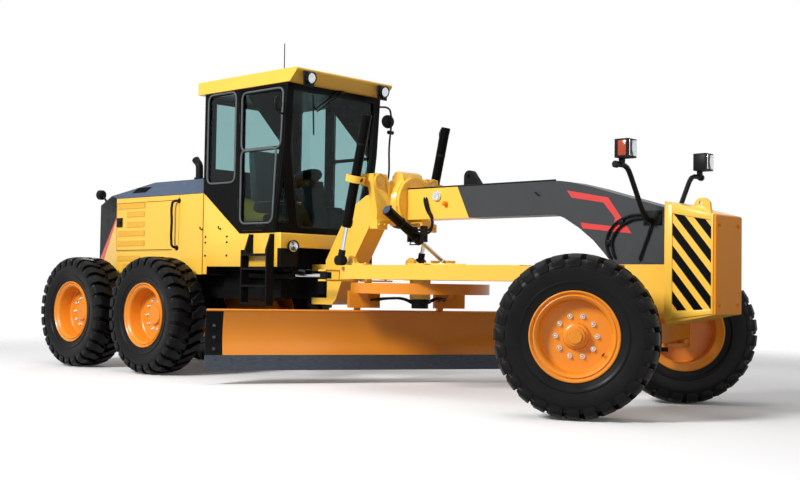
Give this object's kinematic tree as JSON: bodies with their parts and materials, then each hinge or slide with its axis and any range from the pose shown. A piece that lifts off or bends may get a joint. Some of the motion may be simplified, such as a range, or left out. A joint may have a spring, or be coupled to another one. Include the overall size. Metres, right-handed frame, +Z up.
{
  "type": "motor grader",
  "caption": "Motor grader with a tandem drive, a front frame hinged under the cab, steered front wheels and an angled blade on a drawbar and turning circle.",
  "frame": {"origin": "on the ground, under the centre of the machine's box as it stands with its front wheels turned left and its blade angled", "axes": "+X is forward, +Y is to the driver's left, +Z is up"},
  "size_m": [8.644, 3.191, 3.56],
  "materials": {
    "yellow_enamel": "gloss enamel",
    "orange_enamel": "gloss enamel",
    "black_enamel": "satin enamel",
    "grey_enamel": "satin enamel, yellow at its rear",
    "tyre_rubber": "moulded",
    "blade_steel": "rolled",
    "chromed_rod": "ground and chromed",
    "tinted_glass": "green tinted",
    "seat_fabric": "woven",
    "moulded_plastic": "moulded"
  },
  "bodies": {
    "rear_frame": {"rear_frame": "black_enamel", "tandem_case_right": "orange_enamel", "tandem_case_left": "orange_enamel", "engine_hood": "yellow_enamel", "engine_block": "blade_steel", "cab_base": "yellow_enamel", "cab_shell": "black_enamel", "windscreen": "tinted_glass", "rear_window": "tinted_glass", "quarter_window_right": "tinted_glass", "quarter_window_left": "tinted_glass", "cab_roof": "yellow_enamel", "seat": "seat_fabric", "steering_console": "moulded_plastic", "ladder_right": "black_enamel", "ladder_left": "black_enamel"},
    "front_frame": {"front_frame": "grey_enamel", "nose_block": "yellow_enamel", "saddle": "yellow_enamel", "front_axle": "black_enamel"},
    "wheel_rear_right": {"tyre_rear_right": "tyre_rubber", "rim_rear_right": "orange_enamel"},
    "wheel_rear_left": {"tyre_rear_left": "tyre_rubber", "rim_rear_left": "orange_enamel"},
    "wheel_middle_right": {"tyre_middle_right": "tyre_rubber", "rim_middle_right": "orange_enamel"},
    "wheel_middle_left": {"tyre_middle_left": "tyre_rubber", "rim_middle_left": "orange_enamel"},
    "knuckle_right": {"knuckle_right": "orange_enamel"},
    "wheel_front_right": {"tyre_front_right": "tyre_rubber", "rim_front_right": "orange_enamel"},
    "knuckle_left": {"knuckle_left": "orange_enamel"},
    "wheel_front_left": {"tyre_front_left": "tyre_rubber", "rim_front_left": "orange_enamel"},
    "tie_rod": {"tie_rod": "black_enamel"},
    "drawbar_ball": {"drawbar_ball": "blade_steel"},
    "drawbar": {"drawbar": "yellow_enamel"},
    "circle": {"circle": "orange_enamel"},
    "blade_carrier": {"blade_carrier": "black_enamel"},
    "blade": {"moldboard": "orange_enamel", "cutting_edge": "blade_steel"},
    "lift_ring_right": {"lift_ring_right": "yellow_enamel"},
    "lift_barrel_right": {"lift_barrel_right": "black_enamel"},
    "lift_rod_right": {"lift_rod_right": "chromed_rod"},
    "lift_ring_left": {"lift_ring_left": "yellow_enamel"},
    "lift_barrel_left": {"lift_barrel_left": "black_enamel"},
    "lift_rod_left": {"lift_rod_left": "chromed_rod"},
    "side_shift_yoke": {"side_shift_yoke": "black_enamel"},
    "side_shift_barrel": {"side_shift_barrel": "black_enamel"},
    "side_shift_rod": {"side_shift_rod": "chromed_rod"},
    "bend_barrel_right": {"bend_barrel_right": "black_enamel"},
    "bend_rod_right": {"bend_rod_right": "chromed_rod"},
    "bend_barrel_left": {"bend_barrel_left": "black_enamel"},
    "bend_rod_left": {"bend_rod_left": "chromed_rod"},
    "door_right": {"door_right": "black_enamel", "door_glass_right": "tinted_glass"},
    "engine_door_right": {"engine_door_right": "yellow_enamel"},
    "door_left": {"door_left": "black_enamel", "door_glass_left": "tinted_glass"},
    "engine_door_left": {"engine_door_left": "yellow_enamel"}
  },
  "joints": [
    {"name": "articulation", "type": "hinge", "parent": "rear_frame", "child": "front_frame", "pos_m": [-0.462, -0.16897, 1.035], "axis": [0, 0, 1], "range_deg": [-25, 25]},
    {"name": "wheel_rear_right_spin", "type": "hinge", "parent": "rear_frame", "child": "wheel_rear_right", "pos_m": [-3.662, -1.13997, 0.66], "axis": [0, 1, 0], "continuous": true},
    {"name": "wheel_rear_left_spin", "type": "hinge", "parent": "rear_frame", "child": "wheel_rear_left", "pos_m": [-3.662, 0.80203, 0.66], "axis": [0, 1, 0], "continuous": true},
    {"name": "wheel_middle_right_spin", "type": "hinge", "parent": "rear_frame", "child": "wheel_middle_right", "pos_m": [-2.162, -1.13997, 0.66], "axis": [0, 1, 0], "continuous": true},
    {"name": "wheel_middle_left_spin", "type": "hinge", "parent": "rear_frame", "child": "wheel_middle_left", "pos_m": [-2.162, 0.80203, 0.66], "axis": [0, 1, 0], "continuous": true},
    {"name": "steering_right", "type": "hinge", "parent": "front_frame", "child": "knuckle_right", "pos_m": [3.444, -1.01297, 0.66], "axis": [0, 0, 1], "range_deg": [-71.7, 10.4]},
    {"name": "wheel_front_right_spin", "type": "hinge", "parent": "knuckle_right", "child": "wheel_front_right", "pos_m": [3.49342, -1.11124, 0.66], "axis": [-0.4493, 0.8934, 0], "continuous": true},
    {"name": "steering_left", "type": "hinge", "parent": "front_frame", "child": "knuckle_left", "pos_m": [3.444, 0.67503, 0.66], "axis": [0, 0, 1], "range_deg": [-71.8, 10.5]},
    {"name": "wheel_front_left_spin", "type": "hinge", "parent": "knuckle_left", "child": "wheel_front_left", "pos_m": [3.37688, 0.76219, 0.66], "axis": [-0.6101, 0.7923, 0], "continuous": true},
    {"name": "tie_rod_swing", "type": "hinge", "parent": "knuckle_right", "child": "tie_rod", "pos_m": [3.20686, -0.96433, 0.498], "axis": [0, 0, 1], "range_deg": [-13.67, 88.32]},
    {"name": "drawbar_swing", "type": "hinge", "parent": "front_frame", "child": "drawbar_ball", "pos_m": [3.288, -0.16897, 1.16], "axis": [0, 0, 1], "range_deg": [-8, 5]},
    {"name": "drawbar_lift", "type": "hinge", "parent": "drawbar_ball", "child": "drawbar", "pos_m": [3.288, -0.16897, 1.16], "axis": [0, 1, 0], "range_deg": [-2, 4.5]},
    {"name": "circle_turn", "type": "hinge", "parent": "drawbar", "child": "circle", "pos_m": [0.958, -0.16897, 1], "axis": [0, 0, 1], "continuous": true},
    {"name": "blade_tip", "type": "hinge", "parent": "circle", "child": "blade_carrier", "pos_m": [0.23752, 0.27254, 0.36], "axis": [0.5225, 0.8526, 0], "range_deg": [-3, 25]},
    {"name": "blade_shift", "type": "slide", "parent": "blade_carrier", "child": "blade", "axis": [-0.5225, -0.8526, 0], "range_m": [-0.6, 0.35]},
    {"name": "lift_ring_right_swing", "type": "hinge", "parent": "front_frame", "child": "lift_ring_right", "pos_m": [0.608, -0.76897, 2.09], "axis": [0, 1, 0], "range_deg": [-1.88, 3.6]},
    {"name": "lift_barrel_right_lean", "type": "hinge", "parent": "lift_ring_right", "child": "lift_barrel_right", "pos_m": [0.608, -0.76897, 2.09], "axis": [0.9736, 0, -0.2284], "range_deg": [-16.76, 26.51]},
    {"name": "lift_rod_right_slide", "type": "slide", "parent": "lift_barrel_right", "child": "lift_rod_right", "axis": [-0.2284, 0, -0.9736], "range_m": [-0.227, 0.1037]},
    {"name": "lift_ring_left_swing", "type": "hinge", "parent": "front_frame", "child": "lift_ring_left", "pos_m": [0.608, 0.43103, 2.09], "axis": [0, 1, 0], "range_deg": [-1.88, 3.6]},
    {"name": "lift_barrel_left_lean", "type": "hinge", "parent": "lift_ring_left", "child": "lift_barrel_left", "pos_m": [0.608, 0.43103, 2.09], "axis": [0.9736, 0, -0.2284], "range_deg": [-16.88, 26.71]},
    {"name": "lift_rod_left_slide", "type": "slide", "parent": "lift_barrel_left", "child": "lift_rod_left", "axis": [-0.2284, 0, -0.9736], "range_m": [-0.227, 0.1037]},
    {"name": "side_shift_yoke_swing", "type": "hinge", "parent": "front_frame", "child": "side_shift_yoke", "pos_m": [0.938, -0.19897, 1.52], "axis": [1, 0, 0], "range_deg": [-10.55, 23.12]},
    {"name": "side_shift_barrel_swing", "type": "hinge", "parent": "side_shift_yoke", "child": "side_shift_barrel", "pos_m": [0.938, -0.19897, 1.52], "axis": [1, 0, 0], "range_deg": [-11.54, 18.17]},
    {"name": "side_shift_rod_slide", "type": "slide", "parent": "side_shift_barrel", "child": "side_shift_rod", "axis": [0, 0.8706, -0.4919], "range_m": [-0.1846, 0.2923]},
    {"name": "bend_barrel_right_swing", "type": "hinge", "parent": "rear_frame", "child": "bend_barrel_right", "pos_m": [-1.152, -0.68897, 1.13], "axis": [0, 0, 1], "range_deg": [-10.43, 10.43]},
    {"name": "bend_rod_right_slide", "type": "slide", "parent": "bend_barrel_right", "child": "bend_rod_right", "axis": [0.9983, 0.0582, 0], "range_m": [-0.2121, 0.2121]},
    {"name": "bend_barrel_left_swing", "type": "hinge", "parent": "rear_frame", "child": "bend_barrel_left", "pos_m": [-1.152, 0.35103, 1.13], "axis": [0, 0, 1], "range_deg": [-10.43, 10.43]},
    {"name": "bend_rod_left_slide", "type": "slide", "parent": "bend_barrel_left", "child": "bend_rod_left", "axis": [0.9983, -0.0582, 0], "range_m": [-0.2121, 0.2121]},
    {"name": "door_right_hinge", "type": "hinge", "parent": "rear_frame", "child": "door_right", "pos_m": [-1.079, -0.87197, 2.36], "axis": [0, 0, -1], "range_deg": [0, 95]},
    {"name": "engine_door_right_hinge", "type": "hinge", "parent": "rear_frame", "child": "engine_door_right", "pos_m": [-2.291, -0.86097, 1.695], "axis": [0, 0, 1], "range_deg": [0, 85]},
    {"name": "door_left_hinge", "type": "hinge", "parent": "rear_frame", "child": "door_left", "pos_m": [-1.079, 0.53403, 2.36], "axis": [0, 0, 1], "range_deg": [0, 95]},
    {"name": "engine_door_left_hinge", "type": "hinge", "parent": "rear_frame", "child": "engine_door_left", "pos_m": [-2.291, 0.52303, 1.695], "axis": [0, 0, -1], "range_deg": [0, 85]}
  ],
  "couplings": [
    {"joint": "steering_left", "follows": "steering_right", "ratio": 1},
    {"joint": "tie_rod_swing", "follows": "steering_right", "ratio": -1.2179},
    {"joint": "lift_ring_right_swing", "follows": "drawbar_lift", "ratio": 0.68956},
    {"joint": "lift_barrel_right_lean", "follows": "drawbar_swing", "ratio": -3.2514},
    {"joint": "lift_rod_right_slide", "follows": "drawbar_lift", "m_per_rad": -2.8264},
    {"joint": "lift_ring_left_swing", "follows": "drawbar_lift", "ratio": 0.68956},
    {"joint": "lift_barrel_left_lean", "follows": "drawbar_swing", "ratio": -3.2763},
    {"joint": "lift_rod_left_slide", "follows": "drawbar_lift", "m_per_rad": -2.8264},
    {"joint": "side_shift_yoke_swing", "follows": "drawbar_lift", "ratio": 5.026},
    {"joint": "side_shift_barrel_swing", "follows": "drawbar_swing", "ratio": -2.2086},
    {"joint": "side_shift_rod_slide", "follows": "drawbar_swing", "m_per_rad": -2.0579},
    {"joint": "bend_barrel_right_swing", "follows": "articulation", "ratio": 0.39703},
    {"joint": "bend_rod_right_slide", "follows": "articulation", "m_per_rad": 0.47468},
    {"joint": "bend_barrel_left_swing", "follows": "articulation", "ratio": 0.39703},
    {"joint": "bend_rod_left_slide", "follows": "articulation", "m_per_rad": -0.47468}
  ]
}
